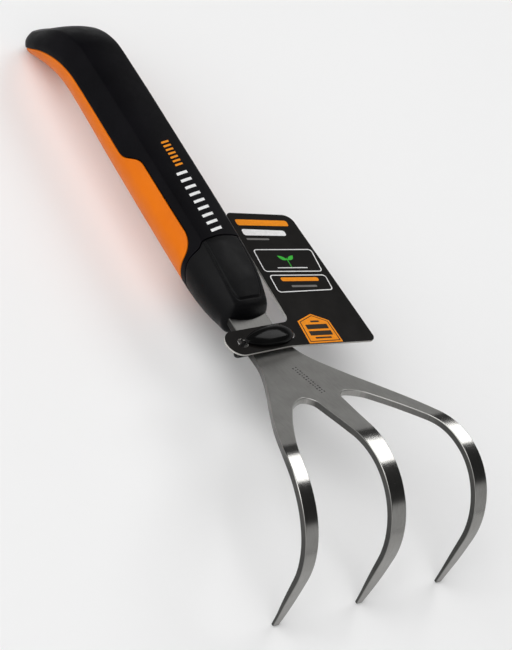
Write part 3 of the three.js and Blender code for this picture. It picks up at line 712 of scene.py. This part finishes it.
def build_head(steel):
    """The steel: rounded edges, ends, and top and bottom faces that are cut out flat and bent afterwards."""
    points, normals, blank, faces = [], [], [], []
    offset_lines, chain_rows = [], []

    def push(spots, depth, n2, tilt, upward):
        """Adds a row of points with their true normals. tilt 0 faces sideways, 90 degrees up or down."""
        start = len(points)
        x, arc = spots.T
        h = sheet_at(arc)[..., 2]
        normal = np.stack([0 * h, -np.sin(h), np.cos(h)], -1) * (1 if upward else -1)
        forward = np.stack([0 * h, np.cos(h), np.sin(h)], -1)
        sideways = n2[:, 0:1] * np.array([1.0, 0, 0]) + n2[:, 1:2] * forward
        points.extend(sheet_point(x, arc, depth).tolist())
        normals.extend((math.sin(tilt) * normal + math.cos(tilt) * sideways).tolist())
        blank.extend(spots.tolist())
        return list(range(start, len(points)))

    turns = [math.radians(angle) for angle in (0, 22.5, 45, 67.5, 90)]
    for chain in head_chains():
        tangent = unit(np.gradient(chain, axis=0))
        n2 = np.stack([tangent[:, 1], -tangent[:, 0]], 1)
        for end in (0, -1):
            n2[end] = (np.sign(n2[end][0]) or 1, 0)
        rows = []
        for upward, angles in ((True, turns[::-1]), (False, turns)):
            for angle in angles:
                spots = chain - n2 * EDGE_ROUND * (1 - math.cos(angle))
                depth = np.full(len(chain), EDGE_ROUND * (1 - math.sin(angle)))
                if not upward:
                    depth = thickness(spots[:, 1]) - depth
                rows.append(push(spots, depth, n2, angle, upward))
        faces += strips(rows)
        chain_rows.append(rows)
        offset_lines.append(chain - n2 * EDGE_ROUND)

    # ends of the three tines and of the tang
    for n, facing in enumerate(((0, 0, -1), (0, 0, -1), (0, 0, -1), (0, -1, 0))):
        ring = [row[-1] for row in chain_rows[n]] + [row[0] for row in chain_rows[(n + 1) % 4]][::-1]
        faces.append(list(range(len(points), len(points) + len(ring))))
        points += [points[k] for k in ring]
        blank += [blank[k] for k in ring]
        normals += [facing] * len(ring)

    outline = np.concatenate(offset_lines).tolist()
    count = len(outline)
    flat = [Vector(spot) for spot in outline + inner_spots()]
    spots, _, triangles, source, _, _ = geometry.delaunay_2d_cdt(flat, [], [list(range(count))], 1, 1e-5)
    spots = np.array([spot[:] for spot in spots])
    still = np.tile([1.0, 0.0], (len(spots), 1))
    for upward, row in ((True, 0), (False, -1)):
        edge_numbers = [k for rows in chain_rows for k in rows[row]]
        depth = 0 * spots[:, 1] if upward else thickness(spots[:, 1])
        numbers = push(spots, depth, still, math.pi / 2, upward)
        for k, origin in enumerate(source):
            known = [o for o in origin if o < count]
            if known:
                numbers[k] = edge_numbers[known[0]]
        faces += [[numbers[k] for k in tri] for tri in triangles]
    looks = {"blank": blank, "normals": normals}
    make_piece("steel_head", points, faces, [steel], "tool", "tine_head", "stainless", **looks)


# ---- materials ----
def node_material(name):
    material = bpy.data.materials.new(name)
    material.use_nodes = True
    tree = material.node_tree
    shader = tree.nodes["Principled BSDF"]
    return material, tree, shader


def link(tree, a, b):
    tree.links.new(a, b)


def noise(tree, scale, detail=4.0, rough=0.55, stretch=(1, 1, 1), vector=None):
    place = tree.nodes.new("ShaderNodeTexCoord").outputs["Object"] if vector is None else vector
    mapping = tree.nodes.new("ShaderNodeMapping")
    mapping.inputs["Scale"].default_value = stretch
    link(tree, place, mapping.inputs["Vector"])
    node = tree.nodes.new("ShaderNodeTexNoise")
    node.inputs["Scale"].default_value = scale
    node.inputs["Detail"].default_value = detail
    node.inputs["Roughness"].default_value = rough
    link(tree, mapping.outputs["Vector"], node.inputs["Vector"])
    return node.outputs["Fac"]


def ramp(tree, source, stops):
    """Colour ramp over stops of (position, colour). A colour of one number is a grey."""
    node = tree.nodes.new("ShaderNodeValToRGB")
    while len(node.color_ramp.elements) < len(stops):
        node.color_ramp.elements.new(0.5)
    for element, (position, colour) in zip(node.color_ramp.elements, stops):
        element.position = position
        element.color = (*colour, 1) if len(colour) == 3 else (colour[0],) * 3 + (1,)
    link(tree, source, node.inputs["Fac"])
    return node.outputs["Color"]


def bump(tree, shader, source, strength, distance):
    node = tree.nodes.new("ShaderNodeBump")
    node.inputs["Strength"].default_value = strength
    node.inputs["Distance"].default_value = distance
    link(tree, source, node.inputs["Height"])
    link(tree, node.outputs["Normal"], shader.inputs["Normal"])


def mottle(tree, shader, socket, texture, low, high, stops=(0.3, 0.7)):
    """Feeds a shader input with a texture between two colours or greys."""
    link(tree, ramp(tree, texture, [(stops[0], low), (stops[1], high)]), shader.inputs[socket])


def maths(tree, operation, source, factor=None, plus=None):
    """Result of one arithmetic node on a texture, with a plain number and another texture."""
    node = tree.nodes.new("ShaderNodeMath")
    node.operation = operation
    link(tree, source, node.inputs[0])
    if factor is not None:
        node.inputs[1].default_value = factor
    if plus is not None:
        link(tree, plus, node.inputs[2])
    return node.outputs[0]


def plastic(name, dark, light, rough, grain, grain_scale, specular):
    material, tree, shader = node_material(name)
    mottle(tree, shader, "Base Color", noise(tree, 60, 3), dark, light, (0.3, 0.75))
    mottle(tree, shader, "Roughness", noise(tree, 220, 5), (rough - 0.06,), (rough + 0.07,))
    bump(tree, shader, noise(tree, grain_scale, 3), grain, 0.0002)
    shader.inputs["Specular IOR Level"].default_value = specular
    return material


def times(tree, colour, other):
    """Product of two colours."""
    node = tree.nodes.new("ShaderNodeMix")
    node.data_type = "RGBA"
    node.blend_type = "MULTIPLY"
    node.inputs[0].default_value = 1.0
    link(tree, colour, node.inputs[6])
    link(tree, other, node.inputs[7])
    return node.outputs[2]


def stainless(name):
    """Brushed steel with painted shade by the place on the flat sheet. Its Y is the arc length in
    BLANK_UNITs.
    """
    material, tree, shader = node_material(name)
    blank = tree.nodes.new("ShaderNodeUVMap")
    blank.uv_map = "blank"
    brushed = noise(tree, 26, 5, 0.6, (9, 0.7, 1), blank.outputs["UV"])
    cloudy = noise(tree, 9, 4, 0.55, (1, 1, 1), blank.outputs["UV"])
    mixed = maths(tree, "MULTIPLY_ADD", brushed, 0.55, maths(tree, "MULTIPLY", cloudy, 0.45))
    tone = ramp(tree, mixed, [(0.3, (0.30, 0.295, 0.28)), (0.7, (0.43, 0.425, 0.41))])
    split = tree.nodes.new("ShaderNodeSeparateXYZ")
    link(tree, blank.outputs["UV"], split.inputs[0])
    # painted shade: darker in the shade of the neck and down the legs, and on the walls that face sideways
    facing = tree.nodes.new("ShaderNodeSeparateXYZ")
    link(tree, tree.nodes.new("ShaderNodeTexCoord").outputs["Normal"], facing.inputs[0])
    # painted shade: the neck darker, in the shade of the collar and tag
    length = ramp(tree, split.outputs["Y"], [(0.08, (0.36,)), (0.24, (1.0,)), (1.0, (1.0,))])
    # painted shade: the legs darker
    leg = ramp(tree, maths(tree, "MULTIPLY", split.outputs["Y"], 0.5), [(0.58, (1.0,)), (0.66, (0.78,))])
    # painted shade: walls that face sideways darker
    side_wall_shade = ramp(tree, maths(tree, "ABSOLUTE", facing.outputs["X"]), [(0.55, (1.0,)), (0.95, (0.22,))])
    for shade in (length, leg, side_wall_shade):
        tone = times(tree, tone, shade)
    link(tree, tone, shader.inputs["Base Color"])
    # the palm is brushed dull and the bends are polished
    polish = tree.nodes.new("ShaderNodeMapRange")
    polish.inputs["From Min"].default_value = 0.795
    polish.inputs["From Max"].default_value = 0.825
    polish.inputs["To Min"].default_value = 0.36
    polish.inputs["To Max"].default_value = 0.12
    link(tree, split.outputs["Y"], polish.inputs["Value"])
    wear = maths(tree, "MULTIPLY_ADD", mixed, 0.08, polish.outputs[0])
    link(tree, wear, shader.inputs["Roughness"])
    shader.inputs["Metallic"].default_value = 1.0
    bump(tree, shader, brushed, 0.10, 0.0001)
    return material


def card_print(name):
    material, tree, shader = node_material(name)
    dark, light = (0.0045, 0.0040, 0.0036), (0.0085, 0.0075, 0.0068)
    mottle(tree, shader, "Base Color", noise(tree, 90, 4), dark, light, (0.3, 0.75))
    mottle(tree, shader, "Roughness", noise(tree, 160, 3), (0.42,), (0.52,))
    bump(tree, shader, noise(tree, 700, 3), 0.12, 0.0001)
    shader.inputs["Specular IOR Level"].default_value = 0.06
    return material


def ink(name, colour, rough=0.5):
    material, tree, shader = node_material(name)
    darker = tuple(0.88 * c for c in colour)
    mottle(tree, shader, "Base Color", noise(tree, 900, 3), darker, colour, (0.35, 0.65))
    mottle(tree, shader, "Roughness", noise(tree, 500, 3), (rough - 0.05,), (rough + 0.05,))
    shader.inputs["Specular IOR Level"].default_value = 0.15
    return material


# ---- hang tag, lock and strap ----
PIVOT = np.array([2.6, 198.5, 38.6])    # middle of the line between the loop's two legs
ROLL, YAW, PITCH = (math.radians(a) for a in (-2.3, 2.7, 4))
STRAP_TURN = rotation(1, ROLL) @ rotation(2, YAW)
CARD_TURN = STRAP_TURN @ rotation(0, PITCH)
CARD_THICK, HOLES_X, HOLE_R = 0.8, (12.9, -13.4), 2.5
# x of the loop's two legs, z of its lowest run, and radius of its bends and of its cord
LEG_RIGHT, LEG_LEFT, LOOP_LOW, LOOP_BEND, CORD_R = 12.6, -14.4, -8.6, 3.0, 1.0
# x of the lock's two ends and of its widest spot, its half width and its height
LOCK_REAR, LOCK_FRONT, LOCK_WIDEST, LOCK_HALF, LOCK_HIGH = -14.3, 12.4, -4.6, 4.75, 2.95
CARD_RISE = CARD_THICK / 2 + (LOCK_HALF + 0.05) * math.sin(PITCH)    # highest spot of the card under it
LOCK_UNDER = CARD_RISE + 0.3


def on_strap(points):
    return np.asarray(points, float) @ STRAP_TURN.T + PIVOT


def on_card(points):
    """Card's own x and y, with z counted from its top face."""
    return (np.asarray(points, float) + [0, 0, CARD_THICK / 2]) @ CARD_TURN.T + PIVOT


def arc_points(x, y, radius, start, end, count):
    turn = np.radians(np.linspace(start, end, count))
    return np.stack([x + radius * np.cos(turn), y + radius * np.sin(turn)], 1)


def rounded(corners, count=9):
    """Closed outline through corners (x, y, radius), each one rounded off by an arc."""
    corners = np.array(corners, float)
    out = []
    for k, (x, y, radius) in enumerate(corners):
        here = np.array([x, y])
        before, after = unit(corners[k - 1, :2] - here), unit(corners[(k + 1) % len(corners), :2] - here)
        half_angle = math.acos(float(before @ after)) / 2
        reach = radius / math.tan(half_angle)
        centre = here + unit(before + after) * radius / math.sin(half_angle)
        first, last = before * reach + here - centre, after * reach + here - centre
        start = math.atan2(first[1], first[0])
        turn = math.atan2(first[0] * last[1] - first[1] * last[0], float(first @ last))
        angles = start + turn * np.linspace(0, 1, count)
        out.append(centre + radius * np.stack([np.cos(angles), np.sin(angles)], 1))
    return np.concatenate(out)


# x, y and rounding of the card's corners: the tongue's right end, then clockwise round the hanging panel
CARD_CORNERS = (
    (21.2, 6.1, 6.4), (21.2, -6.9, 6.4), (-18.3, -6.4, 3.7), (-27.7, -69.8, 3), (-61.4, -62.7, 5),
    (-55.7, 12.2, 3.2), (-10.2, 6.1, 20))


def build_card(face, edge):
    """The printed card, with pale cut edges."""
    holes = [arc_points(x, 0, HOLE_R, 0, 350, 36) for x in HOLES_X]
    outline, levels = rounded(CARD_CORNERS, 17), (0, -CARD_THICK)
    plate("card", outline, levels, on_card, [face, edge], "tag_card", "hang_tag", "card", holes)


PRINT_AT, PRINT_TURN = (3.5, 1.55, 0), rotation(2, math.radians(-8.2))
INK_LEVEL, INK_THICK, OVERPRINT_LEVEL = 0.015, 0.02, 0.04


def build_print(orange, white, grey, green, dark):
    """Plain marks in the places of the card's print, askew to its tongue. None of them is lettering."""
    def lay(name, outline, ink_material, level=INK_LEVEL, holes=()):
        def place(points):
            return on_card((points - PRINT_AT) @ PRINT_TURN.T + [0, 0, level])
        levels = (0, INK_THICK)
        plate(f"print_{name}", outline, levels, place, [ink_material], "tag_card", None, "card", holes)

    def quad(corners, radius):
        return rounded([(x, y, radius) for x, y in corners], 7)

    lay("band_orange", quad([(-17.1, -67.3), (-44.3, -65.9), (-44.3, -62.5), (-17.0, -63.7)], 1.0), orange)
    lay("band_white", quad([(-17.5, -61.4), (-40.0, -59.9), (-39.8, -56.7), (-17.2, -57.6)], 1.2), white)
    lay("band_grey", quad([(-17.4, -55.9), (-29.2, -55.4), (-29.2, -54.4), (-17.3, -54.8)], 0.45), grey)
    frames = (
        [(-17.1, -49.2), (-48.5, -48.5), (-47.4, -35.0), (-16.4, -35.8)],
        [(-17.5, -34.0), (-47.6, -33.2), (-47.0, -24.1), (-17.0, -23.6)])
    for n, corners in enumerate(frames):
        corners = np.array(corners)
        centre = corners.mean(0)
        inner = corners + np.sign(centre - corners) * 0.5
        lay(f"frame_{n}", quad(corners, 1.8), white, holes=[quad(inner, 1.35)])
    lay("line_orange", quad([(-22.6, -32.3), (-42.6, -31.8), (-42.4, -29.6), (-22.5, -30.1)], 0.9), orange)
    lay("line_grey", quad([(-26, -27.6), (-39.5, -27.3), (-39.5, -26.2), (-26, -26.5)], 0.45), grey)
    # a plain seedling in the first frame: a stem, two leaves and some ground
    lay("ground", quad([(-24.5, -38.2), (-40.5, -37.8), (-40.5, -37.3), (-24.5, -37.7)], 0.2), white)
    lay("stem", quad([(-32.0, -43.6), (-32.4, -43.6), (-32.4, -37.8), (-32.0, -37.8)], 0.15), green)
    for side in (-1, 1):
        t = np.linspace(0, 1, 15)
        bow = 1.25 * np.sin(math.pi * t)
        line = np.stack([side * 4.2 * t, -2.6 * t], 1)
        across = np.array([side * 0.526, 0.85])
        leaf = np.concatenate([line + bow[:, None] * across, (line - 0.6 * bow[:, None] * across)[-2:0:-1]])
        lay(f"leaf_{'left' if side > 0 else 'right'}", leaf + [-32.2, -42.4], green)
    badge = np.array([(-17.3, 5.6), (-17.8, -7.1), (-26.7, -10.85), (-34.4, -6.8), (-35.2, 5.4)])
    lay("badge", badge, orange)
    centre = badge.mean(0)
    ring_out, ring_in = centre + (badge - centre) * 0.90, centre + (badge - centre) * 0.85
    lay("badge_line", ring_out, dark, OVERPRINT_LEVEL, [ring_in])
    bars = (
        (-28.9, -24.3, -7.0, -6.1), (-32.0, -20.6, -4.9, -2.3), (-32.2, -20.4, -1.2, 1.3),
        (-30.6, -22.0, 2.2, 3.1))
    for n, (x0, x1, y0, y1) in enumerate(bars):
        bar = quad([(x1, y0), (x0, y0), (x0, y1), (x1, y1)], 0.3)
        lay(f"badge_bar_{n}", bar, dark, OVERPRINT_LEVEL)


def build_lock(gloss):
    """Glossy teardrop dome, widest by the inner hole, and the little ring that fills the outer one."""
    count, around = 81, 40
    rings = []
    for at in LOCK_REAR + (LOCK_FRONT - LOCK_REAR) * (1 - np.cos(np.linspace(0, math.pi, count))) / 2:
        out = max((LOCK_WIDEST - at) / (LOCK_WIDEST - LOCK_REAR), 0)
        along = max((at - LOCK_WIDEST) / (LOCK_FRONT - LOCK_WIDEST), 0)
        full = max(1 - out ** 2.2, 0.0) ** 0.5 * max(1 - along ** 2.4, 0.0) ** 0.8
        wide = max(LOCK_HALF * full, 0.02)
        high = LOCK_HIGH * (0.12 + 0.88 * full) * min(1, 0.3 + 3 * full)
        turn = np.linspace(0, math.pi, around)
        y = wide * np.sign(np.cos(turn)) * np.abs(np.cos(turn)) ** 0.8
        z = 0.35 * high + 0.65 * high * np.sin(turn) ** 1.15
        foot = min(0.25, high * 0.3, wide * 0.5)
        inset = wide - foot * 0.8
        line = np.concatenate([[[inset, 0], [wide, foot]], np.stack([y, z], 1), [[-wide, foot], [-inset, 0]]])
        rings.append(np.column_stack([np.full(len(line), at), line[:, 0], line[:, 1] + LOCK_UNDER]))
    points, faces = tube(rings)
    make_piece("lock_dome", on_strap(points), faces, [gloss], "tag_tie", "tag_lock", "tie_black", 50, 1e-6)

    ring_r, cord, turns, sides = 1.35, 0.4, 48, 16
    rings = []
    for a in 2 * math.pi * np.arange(turns) / turns:
        b = 2 * math.pi * np.arange(sides) / sides
        reach = ring_r + cord * np.cos(b)
        level = LOCK_UNDER + cord + 0.02 + cord * np.sin(b)
        rings.append(np.stack([LEG_RIGHT + reach * math.cos(a), reach * math.sin(a), level], 1))
    points, faces = tube(rings, closed=True)
    make_piece("tie_ring", on_strap(points), faces, [gloss], "tag_tie", None, "tie_black", 80)


def build_strap(gloss):
    """Round cord from the lock down through both holes and round under the neck."""
    top, low, bend = CARD_RISE, LOOP_LOW, LOOP_BEND
    right, left = LEG_RIGHT, LEG_LEFT
    line = [(right, z) for z in np.linspace(top, low + bend, 14)]
    line += arc_points(right - bend, low + bend, bend, 0, -90, 16)[1:].tolist()
    line += [(x, low) for x in np.linspace(right - bend, left + bend, 20)[1:]]
    line += arc_points(left + bend, low + bend, bend, -90, -180, 16)[1:].tolist()
    line += [(left, z) for z in np.linspace(low + bend, top, 14)[1:]]
    line = np.array(line)
    turn = np.linspace(0, 2 * math.pi, 24, endpoint=False)
    across, side = CORD_R * np.cos(turn), CORD_R * np.sin(turn)
    tangent = unit(np.gradient(line, axis=0))
    rings = [
        np.stack([x - tz * across, side, z + tx * across], 1) for (x, z), (tx, tz) in zip(line, tangent)]
    points, faces = tube(rings)
    make_piece("strap_loop", on_strap(points), faces, [gloss], "tag_tie", "tag_strap", "tie_black", 60)


# ---- plain marks on the grip and the palm ----
MARK_RISE, MARK_GRID = 0.05, 8


def grip_mark(name, corners, material):
    """Thin raised mark over the grip's top face between four corners (x, y)."""
    a, b, c, d = (np.array(corner, float) for corner in corners)
    s, t = np.meshgrid(np.linspace(0, 1, MARK_GRID), np.linspace(0, 1, MARK_GRID), indexing="ij")
    s, t = s[..., None], t[..., None]
    flat = a * (1 - s) * (1 - t) + b * s * (1 - t) + c * s * t + d * (1 - s) * t
    u = at_top(flat[..., 1])
    v = np.abs(flat[..., 0]) / np.interp(u, np.arange(U_COUNT), GIRTH)
    flip = np.where(flat[..., :1] < 0, MIRROR, 1)
    p, rise = surface(u, v) * flip, outward(u, v) * flip * MARK_RISE
    over = np.arange(MARK_GRID ** 2).reshape(MARK_GRID, MARK_GRID)
    under = over + MARK_GRID ** 2
    faces = strips(over.tolist()) + strips(under.tolist())
    for side in (np.s_[0], np.s_[-1], np.s_[:, 0], np.s_[:, -1]):
        faces += strips([over[side].tolist(), under[side].tolist()])
    points = np.concatenate([(p + rise).reshape(-1, 3), (p - rise).reshape(-1, 3)])
    make_piece(name, points, faces, [material], "tool", None, "soft_black")


def build_grip_marks(white, orange):
    """Slanted bars in place of the grip's print."""
    for n in range(7):
        y = 96.0 + 2.15 * n
        corners = [(1.2, y), (1.2, y + 1.0), (-3.2, y + 0.1), (-3.2, y - 0.9)]
        grip_mark(f"grip_bar_orange_{n}", corners, orange)
    for n in range(9):
        y = 113.0 + 3.9 * n
        corners = [(3.2, y + 0.6), (3.2, y + 2.0), (-3.0, y + 0.8), (-3.0, y - 0.6)]
        grip_mark(f"grip_bar_white_{n}", corners, white)


def build_palm_dots(dark):
    """A double row of plain punched dots where the palm carries its stamp."""
    points, faces = [], []
    for n in range(14):
        for row in (0, 1):
            wander = 0.16 * math.sin(2.3 * n + 1.7 * row)
            x, arc = -1.6 + 1.7 * row + wander, 34.0 + 1.45 * n + 0.5 * row
            ring = arc_points(x, arc, 0.40 + 0.07 * math.sin(4.1 * n + row), 0, 324, 10)
            rings = [sheet_point(ring[:, 0], ring[:, 1], np.full(10, depth)) for depth in (-0.012, 0.05)]
            dot, around = tube(rings)
            faces += [[len(points) + k for k in face] for face in around]
            points += dot.tolist()
    make_piece("palm_dots", points, faces, [dark], "tool", None, "stainless")


# ---- stage, lights and camera ----
FLOOR_HALF, FLOOR_Z = 6.0, -0.0004
HEART = Vector((0, 0.2, 0.03))    # what the lights aim at
SOFTBOXES = (    # direction from the heart, distance, size and power in watts
    ("softbox_main", (-0.627, -0.32, 0.70), 2.2, (1.05, 0.9), 11),
    ("softbox_side", (0.78, -0.05, 0.62), 2.4, (2.0, 2.0), 19),
    ("softbox_high", (0.25, -0.1, 0.96), 2.4, (1.6, 1.6), 16),
)
LENS, SENSOR = 140.688, 36
CAMERA_AT = (0.65999673, 0.6055017, 0.73103977)
CAMERA_FORWARD = (-0.62698809, -0.40513823, -0.66539384)
CAMERA_UP = (-0.13012585, -0.78766741, 0.60220206)


def build_stage():
    """White floor just under the tool."""
    material, tree, shader = node_material("floor_white")
    mottle(tree, shader, "Base Color", noise(tree, 3, 2), (0.89, 0.89, 0.89), (0.91, 0.91, 0.91))
    shader.inputs["Roughness"].default_value = 0.8
    mesh = bpy.data.meshes.new("floor")
    corners = [(x * FLOOR_HALF, y * FLOOR_HALF, FLOOR_Z) for x, y in ((-1, -1), (1, -1), (1, 1), (-1, 1))]
    mesh.from_pydata(corners, [], [[0, 1, 2, 3]])
    mesh.materials.append(material)
    put("floor", mesh)


def build_world():
    """Soft studio surround: bright low down and on +X, and dark high up elsewhere."""
    world = bpy.data.worlds.new("studio")
    bpy.context.scene.world = world
    world.use_nodes = True
    tree = world.node_tree
    background = tree.nodes["Background"]
    place = tree.nodes.new("ShaderNodeTexCoord")
    split = tree.nodes.new("ShaderNodeSeparateXYZ")
    link(tree, place.outputs["Generated"], split.inputs[0])
    tipped = maths(tree, "MULTIPLY_ADD", split.outputs["Y"], -0.15, split.outputs["Z"])
    low_ring = ramp(tree, tipped, [(0.0, (0.60,)), (0.35, (0.50,)), (0.42, (0.035,)), (1.0, (0.045,))])
    side = ramp(tree, split.outputs["X"], [(0.02, (0.0,)), (0.45, (1.0,))])
    mix = tree.nodes.new("ShaderNodeMix")
    mix.data_type = "RGBA"
    mix.inputs[7].default_value = (1.0, 1.0, 1.0, 1)
    link(tree, side, mix.inputs[0])
    link(tree, low_ring, mix.inputs[6])
    link(tree, mix.outputs[2], background.inputs["Color"])
    background.inputs["Strength"].default_value = 1.0


def build_lights():
    """Softboxes that aim at the heart of the tool."""
    for name, away, distance, size, power in SOFTBOXES:
        light = bpy.data.lights.new(name, "AREA")
        light.shape = "RECTANGLE"
        light.size, light.size_y = size
        light.energy = power
        lamp = put(name, light)
        lamp.location = HEART + Vector(away) * distance
        lamp.rotation_euler = (-Vector(away)).to_track_quat("-Z", "Y").to_euler()


def build_camera():
    """Long lens ahead of the tines and above them, on +X, looking back at the tool."""
    data = bpy.data.cameras.new("camera")
    data.lens = LENS
    data.sensor_width = SENSOR
    data.sensor_fit = "AUTO"
    data.clip_start, data.clip_end = 0.05, 30
    camera = put("camera", data)
    forward = Vector(CAMERA_FORWARD).normalized()
    right = forward.cross(Vector(CAMERA_UP)).normalized()
    turn = Matrix((right, right.cross(forward), -forward)).transposed()
    camera.matrix_world = Matrix.Translation(CAMERA_AT) @ turn.to_4x4()
    bpy.context.scene.camera = camera
    bpy.context.scene.view_settings.view_transform = "Standard"


def main():
    """Builds every piece, then the studio."""
    soft_black = plastic(
        "soft_touch_black", (0.0016, 0.0015, 0.0022), (0.0032, 0.0029, 0.0042), 0.46, 0.25, 2600, 0.05)
    collar_black = plastic(
        "collar_black_grain", (0.0014, 0.0014, 0.0017), (0.0026, 0.0026, 0.0031), 0.40, 0.35, 2200, 0.09)
    orange = plastic("core_orange", (0.60, 0.128, 0.0006), (0.66, 0.150, 0.0008), 0.42, 0.08, 1500, 0.12)
    gloss = plastic("tie_gloss_black", (0.003, 0.003, 0.003), (0.006, 0.006, 0.006), 0.13, 0.02, 900, 0.08)
    ink_orange, ink_white = ink("ink_orange", (0.86, 0.27, 0.002)), ink("ink_white", (0.82, 0.82, 0.82))
    ink_grey, ink_green = ink("ink_grey", (0.16, 0.155, 0.15)), ink("ink_green", (0.04, 0.45, 0.04))
    ink_dark, punched = ink("ink_dark", (0.02, 0.014, 0.008)), ink("punched_dark", (0.035, 0.035, 0.035), 0.4)
    paper = ink("card_edge", (0.42, 0.41, 0.39), 0.8)
    build_head(stainless("stainless_brushed"))
    line, edge = window_edge()
    build_window(edge, orange)
    build_sleeve(line, edge, soft_black)
    build_collar(collar_black)
    build_card(card_print("card_print_dark"), paper)
    build_print(ink_orange, ink_white, ink_grey, ink_green, ink_dark)
    build_lock(gloss)
    build_strap(gloss)
    build_grip_marks(ink_white, ink_orange)
    build_palm_dots(punched)
    build_stage()
    build_world()
    build_lights()
    build_camera()


main()
